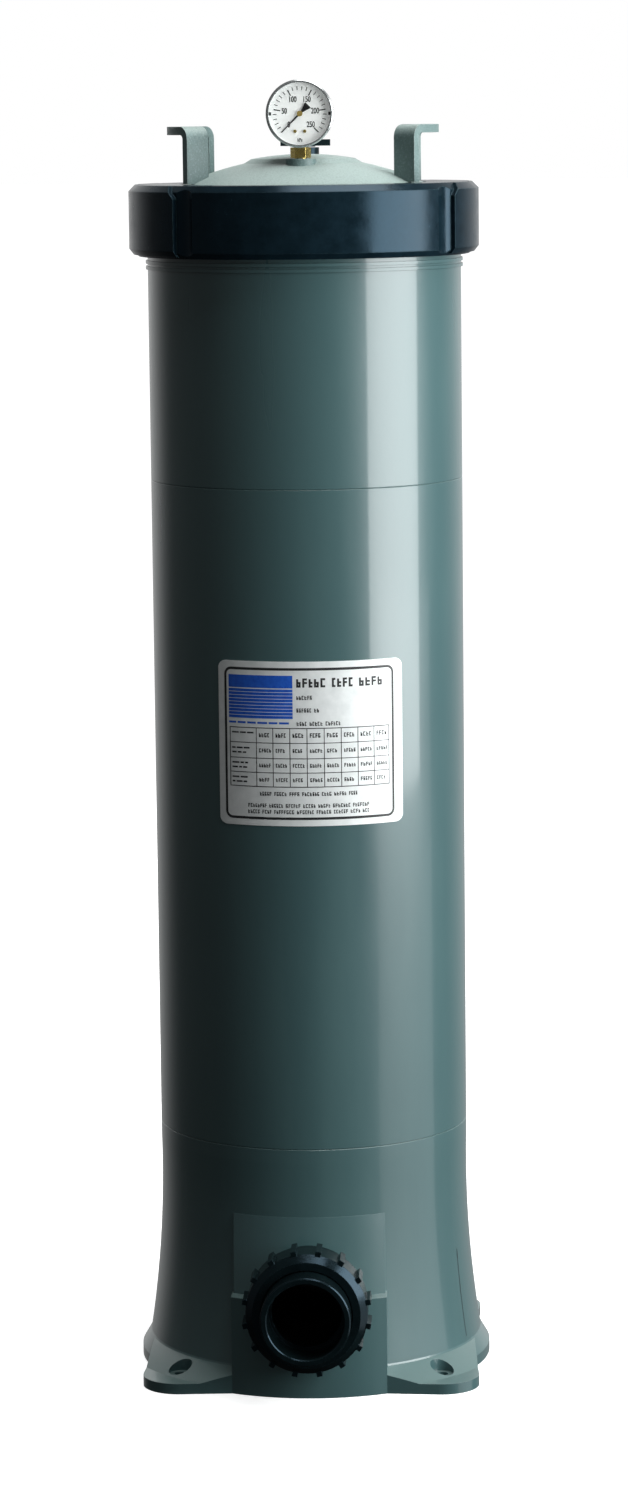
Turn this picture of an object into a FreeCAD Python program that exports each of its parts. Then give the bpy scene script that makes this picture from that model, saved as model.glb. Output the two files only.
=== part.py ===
import FreeCAD, Part
import math
import os
import Sketcher

# Cartridge filter housing for a pool or spa.
# Millimetres. Origin at the centre of the base underside, +Z up, the inlet union faces -Y.

DIMENSIONS = {
    # tank
    "tank_radius": 125, "tank_wall": 6, "seam_low": 197, "seam_high": 721, "seam_groove": 0.5,
    "spigot_length": 15, "spigot_wall": 4.5, "spigot_gap": 0.1,
    "neck_start": 899, "neck_top": 936, "neck_radius": 127, "mouth_radius": 117,
    "thread_radius": 129, "thread_pitch": 9, "thread_width": 4, "bead_height": 890, "bead_pitch": 4.5,
    "bead_radius": 126.5, "bead_width": 2.6,
    # base
    "flare_top": 186, "flare_radius": 135.7, "flare_curve": 900, "flange_radius": 143,
    "foot_edge": 8.5, "foot_top": 21, "floor_bottom": 18, "floor_top": 26,
    "skirt_radius": 124, "lug_spread": 105, "lug_radius": 30, "web_radius": 128, "lug_slope_end": 160,
    "bolt_hole_radius": 5, "spot_radius": 9.5, "spot_height": 8.5,
    "block_width": 124, "block_radius": 146, "block_height": 79, "apron_width": 121,
    "apron_radius": 134, "apron_top": 142, "boss_inner": 101, "boss_depth": 30, "boss_cover": 8,
    "seat_offset": 108.5,
    "port_height": 77, "port_radius": 33,
    # unions
    "adaptor_start": 100, "collar_start": 108.8, "collar_end": 127, "collar_radius": 40,
    "union_thread_radius": 42, "adaptor_end": 163, "adaptor_bore": 28, "relief_radius": 43,
    "nut_start": 148.5, "nut_end": 180, "nut_radius": 48.2, "rib_radius": 51.4, "rib_count": 16,
    "rib_width": 4.5, "nut_bore": 42.4, "nut_lip_start": 172, "nut_lip_radius": 36.5, "nut_chamfer": 5.5,
    "tail_flange_radius": 41.8, "tail_radius": 35.6, "tail_end": 200, "socket_radius": 30.3,
    "socket_depth": 30, "union_ring_radius": 35, "union_ring_section": 1.8,
    # riser from the outlet to the cartridge
    "riser_radius": 30, "riser_wall": 4, "riser_top": 218,
    # lid
    "dome_radius": 230, "dome_apex": 976, "dome_wall": 6.5, "lid_edge": 97.4, "lid_inner": 90,
    "lid_flange_radius": 125, "lid_flange_top": 944, "disc_radius": 43, "disc_rise": 2.3,
    "disc_foot": 6, "disc_shoulder": 4,
    "seal_radius": 122, "seal_section": 2.3, "seal_groove_depth": 4.8, "seal_groove_half": 2.5,
    # grab handles
    "grip_centre": 41, "grip_radius": 57, "strap_width": 20, "strap_thickness": 6.5,
    "grip_top": 1000.7, "grip_bend": 10, "grip_half_angle": 36.2, "leg_bottom": 955.9,
    # lock ring
    "ring_radius": 135.4, "ring_bottom": 899, "ring_top": 955.5, "ring_opening": 98, "ring_bore": 130,
    "ring_lip_bottom": 944.4, "ring_chamfer": 5, "ring_foot_run": 3.5, "ring_foot_rise": 4.5,
    "pad_radius": 139.4, "pad_angle": 75.2, "pad_heading": 188, "scallop_radius": 20,
    "scallop_depth": 2,
    # pressure gauge
    "gauge_y": -44, "gauge_z": 1010, "gauge_radius": 26.5, "gauge_front": -57, "gauge_back": -32,
    "gauge_wall": 1, "dial_y": -52, "dial_thickness": 0.8, "lens_thickness": 1.3, "bezel_width": 2.2,
    "screw_spread": 3.8, "screw_drop": 13.7,
    "stem_radius": 5, "stem_flats": 14, "hex_bottom": 975.5, "hex_top": 983.7, "boss_radius": 12,
    "boss_top": 975, "stem_bottom": 958,
    # air bleed valve
    "bleed_y": 44, "bleed_radius": 11, "bleed_seat": 977.2, "bleed_top": 983, "knob_top": 989.3,
    "knob_radius": 8, "wing_length": 40, "wing_width": 5, "wing_lift": 1.2, "spindle_radius": 2.5,
    "vent_radius": 1.2, "bleed_bottom": 958,
    # cartridge
    "cap_bottom": 208, "cap_lower_top": 226, "pleat_top": 884, "cap_upper_top": 900,
    "cap_radius": 100, "cap_rim": 3, "pleat_radius": 96, "core_radius": 38, "core_wall": 3,
    "core_bore_gap": 0.5, "cap_bore": 34, "gasket_fit": 30.06, "band_radius": 97.5, "band_height": 12,
    # data label
    "label_width": 144, "label_bottom": 457, "label_top": 587, "label_corner": 6,
    "label_film": 0.35, "label_turn": 3,
}

doc = FreeCAD.newDocument("cartridge_filter_housing")
sheet = doc.addObject("Spreadsheet::Sheet", "dims")
for row, (alias, number) in enumerate(DIMENSIONS.items(), start=1):
    sheet.set(f"A{row}", alias)
    sheet.set(f"B{row}", str(number))
    sheet.setAlias(f"B{row}", alias)
doc.recompute()


class Size:
    """A length known as a number and as the spreadsheet formula that gives it."""

    def __init__(self, value, formula):
        self.value = value
        self.formula = formula

    def joined(self, other, sign, value):
        return Size(value, f"({self.formula} {sign} {size(other).formula})")

    def __add__(self, other):
        return self.joined(other, "+", self.value + size(other).value)

    def __sub__(self, other):
        return self.joined(other, "-", self.value - size(other).value)

    def __mul__(self, other):
        return self.joined(other, "*", self.value * size(other).value)

    def __truediv__(self, other):
        return self.joined(other, "/", self.value / size(other).value)

    def __neg__(self):
        return size(0) - self


def size(number):
    """Give a plain number the same form as a spreadsheet size."""
    if isinstance(number, Size):
        return number
    return Size(number, f"({number:.6g})" if number < 0 else f"{number:.6g}")


class Dimensions:
    """Each alias of the sheet as a Size."""

    def __getattr__(self, alias):
        return Size(DIMENSIONS[alias], f"dims.{alias}")


D = Dimensions()
finished = []


def bind(item, **sizes):
    """Bind properties of a document object to spreadsheet formulas."""
    for name, length in sizes.items():
        item.setExpression(name, size(length).formula)


def place(item, x=0, y=0, z=0, rotation=None):
    """Put an object at a place that follows the spreadsheet, with a fixed rotation."""
    spot = FreeCAD.Vector(size(x).value, size(y).value, size(z).value)
    item.Placement = FreeCAD.Placement(spot, rotation or FreeCAD.Rotation())
    for axis, length in (("x", x), ("y", y), ("z", z)):
        if isinstance(length, Size):
            item.setExpression(f"Placement.Base.{axis}", length.formula)
    return item


def turn_about_z(degrees):
    return FreeCAD.Rotation(FreeCAD.Vector(0, 0, 1), degrees)


def turn_about_x(degrees):
    return FreeCAD.Rotation(FreeCAD.Vector(1, 0, 0), degrees)


def turn_about_y(degrees):
    return FreeCAD.Rotation(FreeCAD.Vector(0, 1, 0), degrees)


def cylinder(name, radius, height, angle=360, **where):
    item = doc.addObject("Part::Cylinder", name)
    bind(item, Radius=radius, Height=height)
    item.Angle = angle
    return place(item, **where)


def sphere(name, radius, **where):
    item = doc.addObject("Part::Sphere", name)
    bind(item, Radius=radius)
    return place(item, **where)


def box(name, length, width, height, **where):
    item = doc.addObject("Part::Box", name)
    bind(item, Length=length, Width=width, Height=height)
    return place(item, **where)


def prism(name, sides, circumradius, height, **where):
    item = doc.addObject("Part::Prism", name)
    item.Polygon = sides
    bind(item, Circumradius=circumradius, Height=height)
    return place(item, **where)


def torus(name, radius, section, angle=360, **where):
    item = doc.addObject("Part::Torus", name)
    bind(item, Radius1=radius, Radius2=section)
    item.Angle3 = angle
    return place(item, **where)


def fuse(name, items):
    item = doc.addObject("Part::MultiFuse", name)
    item.Shapes = items
    item.Refine = True
    return item


def common(name, items):
    item = doc.addObject("Part::MultiCommon", name)
    item.Shapes = items
    item.Refine = True
    return item


def cut(name, base, tools):
    """Take the tools away from the base, one after another."""
    for number, tool in enumerate(tools):
        item = doc.addObject("Part::Cut", f"{name}_{number}")
        item.Base = base
        item.Tool = tool
        item.Refine = True
        base = item
    return base


def finish(node, item):
    """Name a sub-part and keep it for the checks and the export."""
    item.Label = node
    finished.append(item)
    return item


def origin_plane(body, role):
    return [plane for plane in body.Origin.OriginFeatures if plane.Role == role][0]


def arc_between(start, end, radius):
    """Arc from start to end, bulging to the left of the way for a positive radius.

    It is returned anticlockwise, with True where it starts at the start corner."""
    chord = end - start
    left = FreeCAD.Vector(-chord.y, chord.x, 0).normalize()
    reach = math.sqrt(radius * radius - chord.Length * chord.Length / 4)
    centre = (start + end) * 0.5 - left * math.copysign(reach, radius)
    first, last = (end, start) if radius > 0 else (start, end)
    angles = [math.atan2(point.y - centre.y, point.x - centre.x) for point in (first, last)]
    if angles[1] < angles[0]:
        angles[1] += 2 * math.pi
    circle = Part.Circle(centre, FreeCAD.Vector(0, 0, 1), abs(radius))
    return Part.ArcOfCircle(circle, angles[0], angles[1]), radius < 0


def outline_sketch(body, name, role, outline):
    """Closed outline of (first, second[, arc radius]) corners, each bound to the sheet."""
    sketch = body.newObject("Sketcher::SketchObject", name)
    sketch.AttachmentSupport = [(origin_plane(body, role), "")]
    sketch.MapMode = "FlatFace"
    corners = [(size(corner[0]), size(corner[1])) for corner in outline]
    points = [FreeCAD.Vector(first.value, second.value, 0) for first, second in corners]
    ends = []
    for number, corner in enumerate(outline):
        start, end = points[number - 1], points[number]
        forward = True
        curve = Part.LineSegment(start, end)
        if len(corner) == 3:
            curve, forward = arc_between(start, end, size(corner[2]).value)
        sketch.addGeometry(curve, False)
        ends.append((1, 2) if forward else (2, 1))
    for number in range(len(points)):
        following = (number + 1) % len(points)
        sketch.addConstraint(Sketcher.Constraint(
            "Coincident", number, ends[number][1], following, ends[following][0]))
    for number, (first, second) in enumerate(corners):
        vertex = ends[number][1]
        for kind, length in (("DistanceX", first), ("DistanceY", second)):
            index = sketch.addConstraint(Sketcher.Constraint(kind, -1, 1, number, vertex, length.value))
            sketch.setExpression(f"Constraints[{index}]", length.formula)
        if len(outline[number]) == 3:
            radius = size(outline[number][2])
            index = sketch.addConstraint(Sketcher.Constraint("Radius", number, abs(radius.value)))
            sketch.setExpression(f"Constraints[{index}]", f"abs({radius.formula})")
    return sketch


def turned(name, outline, **where):
    """A body of revolution about its own Z axis from (radius, height) corners."""
    body = doc.addObject("PartDesign::Body", name)
    sketch = outline_sketch(body, f"{name}_section", "XZ_Plane", outline)
    spin = body.newObject("PartDesign::Revolution", f"{name}_turned")
    spin.Profile = sketch
    spin.ReferenceAxis = (sketch, ["V_Axis"])
    spin.Angle = 360
    body.Tip = spin
    return place(body, **where)


def padded(name, outline, height, **where):
    """A body raised from a plan outline of (x, y) corners."""
    body = doc.addObject("PartDesign::Body", name)
    sketch = outline_sketch(body, f"{name}_plan", "XY_Plane", outline)
    pad = body.newObject("PartDesign::Pad", f"{name}_pad")
    pad.Profile = sketch
    bind(pad, Length=height)
    body.Tip = pad
    return place(body, **where)


def tube(name, outer, inner, bottom, top, **where):
    return turned(name, [(inner, bottom), (outer, bottom), (outer, top), (inner, top)], **where)


def bore_tool(name, radius, start, end, facing):
    """A cylinder along Y at port height, from start to end of the way out of the tank."""
    return cylinder(name, radius, end - start, y=start * facing, z=D.port_height,
                    rotation=turn_about_x(-90 * facing))


# --- tank -------------------------------------------------------------------------------------

def lug_plan():
    """Half-square plan of one mounting lug: a web that leaves the round base on both tangents."""
    reach = D.lug_spread.value * math.sqrt(2)
    swing = math.degrees(math.acos((D.web_radius.value - D.lug_radius.value) / reach))
    corners = []
    for side in (-1, 1):
        heading = math.radians(45 + side * swing)
        along, across = math.cos(heading), math.sin(heading)
        web = (D.web_radius * along, D.web_radius * across)
        tip = (D.lug_spread + D.lug_radius * along, D.lug_spread + D.lug_radius * across)
        corners.append([web, tip] if side < 0 else [tip, web])
    (web_one, tip_one), (tip_two, web_two) = corners
    return [(0, 0), web_one, tip_one, (tip_two[0], tip_two[1], -D.lug_radius), web_two]


def base_moulding():
    inner = D.tank_radius - D.tank_wall
    body = turned("base_shell", [
        (D.skirt_radius, 0),
        (D.flange_radius, 0),
        (D.flange_radius, D.foot_edge),
        (D.flare_radius, D.foot_top),
        (D.tank_radius, D.flare_top, D.flare_curve),
        (D.tank_radius, D.seam_low - D.seam_groove),
        (D.tank_radius - D.seam_groove, D.seam_low),
        (inner - D.spigot_gap, D.seam_low),
        (inner - D.spigot_gap, D.seam_low + D.spigot_length),
        (inner - D.spigot_wall, D.seam_low + D.spigot_length),
        (inner - D.spigot_wall, D.floor_top),
        (0, D.floor_top),
        (0, D.floor_bottom),
        (D.skirt_radius, D.floor_bottom),
    ])
    lugs = []
    for quarter in range(4):
        lugs.append(padded(f"lug_{quarter}", lug_plan(), D.foot_top,
                           rotation=turn_about_z(90 * quarter)))
    slope = turned("lug_slope", [
        (D.flare_radius - 2, D.foot_top),
        (D.lug_slope_end, D.foot_edge),
        (D.lug_slope_end + 20, D.foot_edge),
        (D.lug_slope_end + 20, D.foot_top + 1),
        (D.flare_radius - 2, D.foot_top + 1),
    ])
    underside = cylinder("underside", D.skirt_radius, D.floor_bottom)
    feet = cut("feet", fuse("lug_set", lugs), [slope, underside])
    block_round = cylinder("block_round", D.block_radius, D.block_height)
    # the apron leans back from the top of the block until it meets the wall of the tank
    apron_round = turned("apron_round", [
        (D.skirt_radius, D.foot_top),
        (D.apron_radius, D.foot_top),
        (D.apron_radius, D.block_height),
        (D.tank_radius, D.apron_top),
        (D.skirt_radius, D.apron_top),
    ])
    blocks = []
    bosses = []
    for facing in (-1, 1):
        side = facing + 1
        block = box(f"block_{side}", D.block_width, D.block_radius, D.block_height,
                    x=D.block_width / -2, y=D.block_radius * min(facing, 0))
        blocks.append(common(f"port_block_{side}", [block, block_round]))
        apron = box(f"apron_{side}", D.apron_width, D.block_radius, D.apron_top,
                    x=D.apron_width / -2, y=D.block_radius * min(facing, 0))
        blocks.append(common(f"port_apron_{side}", [apron, apron_round]))
        inside = box(f"boss_box_{side}", D.block_width, D.boss_depth,
                     D.port_height + D.relief_radius + D.boss_cover - D.floor_bottom,
                     x=D.block_width / -2, y=D.boss_inner * facing + D.boss_depth * min(facing, 0),
                     z=D.floor_bottom)
        limit = cylinder(f"boss_limit_{side}", D.tank_radius - 1, D.seam_low)
        bosses.append(common(f"port_boss_{side}", [inside, limit]))
    hollow = cylinder("block_hollow", D.skirt_radius, D.block_height)
    blocks = cut("blocks", fuse("block_set", blocks), [hollow])
    bores = []
    for facing in (-1, 1):
        bores.append(bore_tool(f"port_bore_{facing + 1}", D.port_radius + 0.1, D.adaptor_start - 14,
                               D.block_radius + 1, facing))
        bores.append(bore_tool(f"collar_bore_{facing + 1}", D.relief_radius, D.seat_offset,
                               D.block_radius + 1, facing))
    holes = []
    for across in (-1, 1):
        for along in (-1, 1):
            name = f"{across + 1}{along + 1}"
            spot = {"x": D.lug_spread * across, "y": D.lug_spread * along}
            holes.append(cylinder(f"bolt_hole_{name}", D.bolt_hole_radius, D.foot_top, **spot))
            holes.append(cylinder(f"spot_face_{name}", D.spot_radius, D.foot_top, z=D.spot_height, **spot))
    whole = fuse("base_whole", [body, feet, blocks] + bosses)
    finish("base_moulding", cut("base_moulding", whole, bores + holes))


def tank_tube():
    outer = D.tank_radius
    finish("tank_tube", turned("tank_tube", [
        (outer - D.tank_wall, D.seam_low),
        (outer - D.seam_groove, D.seam_low),
        (outer, D.seam_low + D.seam_groove),
        (outer, D.seam_high - D.seam_groove),
        (outer - D.seam_groove, D.seam_high),
        (outer - D.tank_wall, D.seam_high),
    ]))


def tank_neck():
    outer = D.tank_radius
    inner = D.tank_radius - D.tank_wall
    groove_floor = D.neck_top - D.seal_groove_depth
    neck = turned("neck_barrel", [
        (outer - D.seam_groove, D.seam_high),
        (outer, D.seam_high + D.seam_groove),
        (outer, D.neck_start),
        (D.neck_radius, D.neck_start + 2),
        (D.neck_radius, D.neck_top),
        (D.seal_radius + D.seal_groove_half, D.neck_top),
        (D.seal_radius + D.seal_groove_half, groove_floor),
        (D.seal_radius - D.seal_groove_half, groove_floor),
        (D.seal_radius - D.seal_groove_half, D.neck_top),
        (D.mouth_radius, D.neck_top),
        (D.mouth_radius, D.neck_start),
        (inner, D.neck_start - 6),
        (inner, D.seam_high + 4),
        (inner - D.spigot_wall, D.seam_high),
        (inner - D.spigot_wall, D.seam_high - D.spigot_length),
        (inner - D.spigot_gap, D.seam_high - D.spigot_length),
        (inner - D.spigot_gap, D.seam_high),
    ])
    rings = []
    for number in range(2):
        bottom = D.bead_height - D.bead_width / 2 + D.bead_pitch * number
        rings.append(tube(f"bead_{number}", D.bead_radius, outer - 1, bottom, bottom + D.bead_width))
    for number in range(3):
        bottom = D.neck_start + 7 + D.thread_pitch * number
        top = bottom + D.thread_width
        rings.append(turned(f"thread_{number}", [
            (D.neck_radius - 1, bottom - 1), (D.thread_radius, bottom + 1),
            (D.thread_radius, top - 1), (D.neck_radius - 1, top + 1),
        ]))
    finish("tank_neck", fuse("tank_neck", [neck] + rings))
    finish("lid_seal", torus("lid_seal", D.seal_radius, D.seal_section,
                             z=D.neck_top - D.seal_section - 0.1))


def data_label():
    inner = D.tank_radius + 0.02
    film = tube("label_film_shell", inner + D.label_film, inner, D.label_bottom, D.label_top)
    height = D.label_top - D.label_bottom
    plate = box("label_plate", D.label_width, D.tank_radius * 2, height - D.label_corner * 2,
                x=D.label_width / -2, y=D.tank_radius * -2, z=D.label_bottom + D.label_corner)
    band = box("label_band", D.label_width - D.label_corner * 2, D.tank_radius * 2, height,
               x=D.label_corner - D.label_width / 2, y=D.tank_radius * -2, z=D.label_bottom)
    corners = []
    for side in (-1, 1):
        for level in (D.label_bottom + D.label_corner, D.label_top - D.label_corner):
            corners.append(cylinder(f"label_corner_{len(corners)}", D.label_corner, D.tank_radius * 2,
                                    x=(D.label_width / 2 - D.label_corner) * side, z=level,
                                    rotation=turn_about_x(90)))
    face = fuse("label_face", [plate, band] + corners)
    label = common("data_label", [film, face])
    finish("data_label", place(label, rotation=turn_about_z(DIMENSIONS["label_turn"])))


def riser():
    """Elbow from the outlet port to the middle and up to the cartridge."""
    bore = D.riser_radius - D.riser_wall
    start = D.adaptor_start
    level = bore_tool("riser_level", D.riser_radius, size(0), start, 1)
    upright = cylinder("riser_upright", D.riser_radius, D.riser_top - D.port_height, z=D.port_height)
    knee = sphere("riser_knee", D.riser_radius, z=D.port_height)
    level_bore = bore_tool("riser_level_bore", bore, size(0), start + 1, 1)
    upright_bore = cylinder("riser_upright_bore", bore, D.riser_top - D.port_height + 1, z=D.port_height)
    knee_bore = sphere("riser_knee_bore", bore, z=D.port_height)
    body = fuse("riser_body", [level, upright, knee])
    way = fuse("riser_way", [level_bore, upright_bore, knee_bore])
    finish("outlet_riser", cut("outlet_riser", body, [way]))


# --- unions -----------------------------------------------------------------------------------

def union_set(side, facing):
    """Adaptor, sealing ring, tailpiece and nut of one pipe union; local +Z points out of the tank."""
    stand = {"z": D.port_height,
             "rotation": turn_about_z(0 if facing < 0 else 180) * turn_about_x(90)}
    ring_gap = D.union_ring_section * 2
    finish(f"{side}_adaptor", turned(f"{side}_adaptor", [
        (D.adaptor_bore, D.adaptor_start),
        (D.port_radius, D.adaptor_start),
        (D.port_radius, D.collar_start),
        (D.collar_radius, D.collar_start),
        (D.collar_radius, D.collar_end),
        (D.union_thread_radius, D.nut_start),
        (D.union_thread_radius, D.adaptor_end),
        (D.union_ring_radius + D.union_ring_section, D.adaptor_end),
        (D.union_ring_radius + D.union_ring_section, D.adaptor_end - ring_gap),
        (D.union_ring_radius - D.union_ring_section, D.adaptor_end - ring_gap),
        (D.union_ring_radius - D.union_ring_section, D.adaptor_end),
        (D.adaptor_bore, D.adaptor_end),
    ], **stand))
    lift = {"y": (D.adaptor_end - D.union_ring_section) * facing, "z": D.port_height}
    finish(f"{side}_seal", torus(f"{side}_seal", D.union_ring_radius, D.union_ring_section - 0.05,
                                 rotation=turn_about_x(90), **lift))
    tail_start = D.adaptor_end + 0.1
    socket_start = D.tail_end - D.socket_depth
    finish(f"{side}_tailpiece", turned(f"{side}_tailpiece", [
        (D.adaptor_bore, tail_start),
        (D.tail_flange_radius, tail_start),
        (D.tail_flange_radius, D.nut_lip_start - 0.3),
        (D.tail_radius, D.nut_lip_start - 0.3),
        (D.tail_radius, D.tail_end - 1),
        (D.tail_radius - 1, D.tail_end),
        (D.socket_radius + 0.8, D.tail_end),
        (D.socket_radius, D.tail_end - 0.8),
        (D.socket_radius, socket_start),
        (D.adaptor_bore, socket_start),
    ], **stand))
    nut_body = turned(f"{side}_nut_body", [
        (D.nut_bore, D.nut_start),
        (D.nut_radius, D.nut_start),
        (D.nut_radius, D.nut_end - D.nut_chamfer),
        (D.nut_radius - D.nut_chamfer, D.nut_end),
        (D.nut_lip_radius, D.nut_end),
        (D.nut_lip_radius, D.nut_lip_start),
        (D.nut_bore, D.nut_lip_start),
    ], **stand)
    pieces = [nut_body]
    for number in range(DIMENSIONS["rib_count"]):
        angle = 360 / DIMENSIONS["rib_count"] * (number + 0.5)
        rib = box(f"{side}_rib_{number}", D.rib_radius - D.nut_bore - 1.5, D.rib_width,
                  D.nut_end - D.nut_start - D.nut_chamfer)
        heading = math.radians(angle)
        along = FreeCAD.Vector(math.cos(heading), math.sin(heading), 0)
        across = FreeCAD.Vector(-along.y, along.x, 0)
        spot = along * (DIMENSIONS["nut_bore"] + 1.5) - across * (DIMENSIONS["rib_width"] / 2)
        local = FreeCAD.Placement(
            spot + FreeCAD.Vector(0, 0, DIMENSIONS["nut_start"] + 1),
            turn_about_z(angle))
        rib.Placement = nut_body.Placement.multiply(local)
        pieces.append(rib)
    finish(f"{side}_nut", fuse(f"{side}_nut", pieces))


# --- lid and lock ring ------------------------------------------------------------------------

def strap_handle(side):
    """One arched grab handle; side is 1 for +X and -1 for -X."""
    outer = D.grip_radius + D.strap_width / 2
    inner = D.grip_radius - D.strap_width / 2
    centre = D.grip_centre * side
    half = DIMENSIONS["grip_half_angle"]
    heading = 0 if side > 0 else 180
    flat_bottom = D.grip_top - D.strap_thickness
    spot = {"x": centre, "z": flat_bottom, "rotation": turn_about_z(heading - half)}
    arch = cylinder(f"arch_{side + 1}", outer, D.strap_thickness, angle=2 * half, **spot)
    hole = cylinder(f"arch_hole_{side + 1}", inner, D.strap_thickness, angle=360, x=centre, z=flat_bottom)
    pieces = [cut(f"arch_cut_{side + 1}", arch, [hole])]
    hub = DIMENSIONS["grip_top"] - DIMENSIONS["grip_bend"]
    for end in (-1, 1):
        # local frame at the end of the arch: x along the strap width, y onward round the arch
        at_end = FreeCAD.Placement(FreeCAD.Vector(centre.value, 0, 0), turn_about_z(heading + end * half))
        name = f"{side + 1}_{end + 1}"
        bend = cylinder(f"bend_{name}", D.grip_bend, D.strap_width, angle=90)
        core = cylinder(f"bend_core_{name}", D.grip_bend - D.strap_thickness, D.strap_width, angle=360)
        # the quarter cylinder lies along the width, from above its axis to the far side of it
        lie = turn_about_y(90) * turn_about_z(90 if end > 0 else 180)
        local = FreeCAD.Placement(FreeCAD.Vector(inner.value, 0, hub), lie)
        bend.Placement = at_end.multiply(local)
        core.Placement = at_end.multiply(local)
        pieces.append(cut(f"bend_cut_{name}", bend, [core]))
        leg = box(f"leg_{name}", D.strap_width, D.strap_thickness, size(hub) - D.leg_bottom)
        near = -DIMENSIONS["grip_bend"]
        if end > 0:
            near = DIMENSIONS["grip_bend"] - DIMENSIONS["strap_thickness"]
        leg.Placement = at_end.multiply(FreeCAD.Placement(
            FreeCAD.Vector(inner.value, near, DIMENSIONS["leg_bottom"]), FreeCAD.Rotation()))
        pieces.append(leg)
    return pieces


def lid():
    centre = D.dome_apex - D.dome_radius
    rise = D.dome_apex - D.neck_top + 10
    cap = common("dome_cap", [sphere("dome_outer", D.dome_radius, z=centre),
                              cylinder("dome_edge", D.lid_edge, rise, z=D.neck_top)])
    disc_edge = turned("disc_edge", [
        (0, D.lid_flange_top),
        (D.disc_radius + D.disc_foot, D.lid_flange_top),
        (D.disc_radius + D.disc_foot, D.dome_apex - D.disc_foot),
        (D.disc_radius - D.disc_shoulder, D.dome_apex),
        (D.disc_radius - D.disc_shoulder, D.dome_apex + D.disc_shoulder),
        (0, D.dome_apex + D.disc_shoulder),
    ])
    disc = common("raised_disc", [sphere("disc_outer", D.dome_radius + D.disc_rise, z=centre), disc_edge])
    flange = cylinder("lid_flange", D.lid_flange_radius, D.lid_flange_top - D.neck_top, z=D.neck_top)
    pieces = [cap, disc, flange]
    pads = []
    for name, y, top in (("gauge", D.gauge_y, D.boss_top), ("bleed", D.bleed_y, D.bleed_seat)):
        pieces.append(cylinder(f"{name}_boss", D.boss_radius, top - D.lid_flange_top,
                               y=y, z=D.lid_flange_top))
        pads.append(cylinder(f"{name}_pad", D.boss_radius - 2, D.boss_top - D.stem_bottom - 1,
                             y=y, z=D.stem_bottom))
    for side in (-1, 1):
        pieces += strap_handle(side)
    hollow = common("dome_hollow", [
        sphere("dome_inner", D.dome_radius - D.dome_wall, z=centre),
        cylinder("dome_inner_edge", D.lid_inner, rise, z=D.neck_top)])
    outside = fuse("lid_outside", pieces)
    stem_hole = cylinder("stem_hole", D.stem_radius, rise, y=D.gauge_y, z=D.neck_top)
    bleed_hole = cylinder("bleed_hole", D.knob_radius - 2, rise, y=D.bleed_y, z=D.neck_top)
    body = cut("lid_shell", outside, [hollow])
    finish("lid", cut("lid", fuse("lid_bossed", [body] + pads), [stem_hole, bleed_hole]))


def pad_corner(name, heading, side):
    """Block that takes the upper corner off one end of a grip pad, on a 45 degree plane."""
    chamfer = DIMENSIONS["ring_chamfer"]
    corner = box(name, D.ring_chamfer * 4, D.ring_chamfer * 6, D.ring_chamfer * 3)
    low = FreeCAD.Vector(-2 * chamfer, chamfer, DIMENSIONS["ring_top"] - 3 * chamfer)
    high = FreeCAD.Vector(-2 * chamfer, -3 * chamfer, DIMENSIONS["ring_top"] + chamfer)
    start = high if side > 0 else FreeCAD.Vector(low.x, -low.y, low.z)
    local = FreeCAD.Placement(start + FreeCAD.Vector(DIMENSIONS["pad_radius"], 0, 0),
                              turn_about_x(-45 * side))
    corner.Placement = FreeCAD.Placement(FreeCAD.Vector(), turn_about_z(heading)).multiply(local)
    return corner


def lock_ring():
    ring = turned("ring_barrel", [
        (D.ring_bore, D.ring_bottom),
        (D.ring_radius - D.ring_foot_run, D.ring_bottom),
        (D.ring_radius, D.ring_bottom + D.ring_foot_rise),
        (D.ring_radius, D.ring_top - D.ring_chamfer),
        (D.ring_radius - D.ring_chamfer, D.ring_top),
        (D.ring_opening, D.ring_top),
        (D.ring_opening, D.ring_lip_bottom),
        (D.ring_bore, D.ring_lip_bottom),
    ])
    pads = []
    scallops = []
    width = DIMENSIONS["pad_angle"]
    scallop_half = math.sqrt(2 * DIMENSIONS["scallop_radius"] * DIMENSIONS["scallop_depth"])
    step = math.degrees(scallop_half / DIMENSIONS["ring_radius"])
    for number in range(2):
        middle = DIMENSIONS["pad_heading"] + 180 * number
        band = turned(f"pad_band_{number}", [
            (D.ring_bore + 2, D.ring_bottom + D.ring_foot_rise / 3),
            (D.pad_radius - D.ring_foot_run, D.ring_bottom + D.ring_foot_rise / 3),
            (D.pad_radius, D.ring_bottom + D.ring_foot_rise * 4 / 3),
            (D.pad_radius, D.ring_top - D.ring_chamfer),
            (D.pad_radius - D.ring_chamfer, D.ring_top),
            (D.ring_bore + 2, D.ring_top),
        ])
        sector = cylinder(f"pad_sector_{number}", D.pad_radius + 5, D.ring_top - D.ring_bottom,
                          angle=width, z=D.ring_bottom, rotation=turn_about_z(middle - width / 2))
        corners = []
        for side in (-1, 1):
            end = middle + side * width / 2
            corners.append(pad_corner(f"pad_corner_{number}_{side + 1}", end, side))
            heading = math.radians(end + side * step)
            reach = D.ring_radius + D.scallop_radius - D.scallop_depth
            scallops.append(cylinder(f"scallop_{len(scallops)}", D.scallop_radius,
                                     D.ring_top - D.ring_bottom + 2,
                                     x=reach * math.cos(heading), y=reach * math.sin(heading),
                                     z=D.ring_bottom - 1))
        pads.append(cut(f"grip_pad_{number}", common(f"pad_block_{number}", [band, sector]), corners))
    barrel = cut("ring_scalloped", ring, scallops)
    finish("lock_ring", fuse("lock_ring", [barrel] + pads))


# --- pressure gauge ---------------------------------------------------------------------------

def facing_front(y):
    """Local +Z points to -Y and the local origin is on the gauge axis at the given y."""
    return {"y": y, "z": D.gauge_z, "rotation": turn_about_x(90)}


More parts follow.
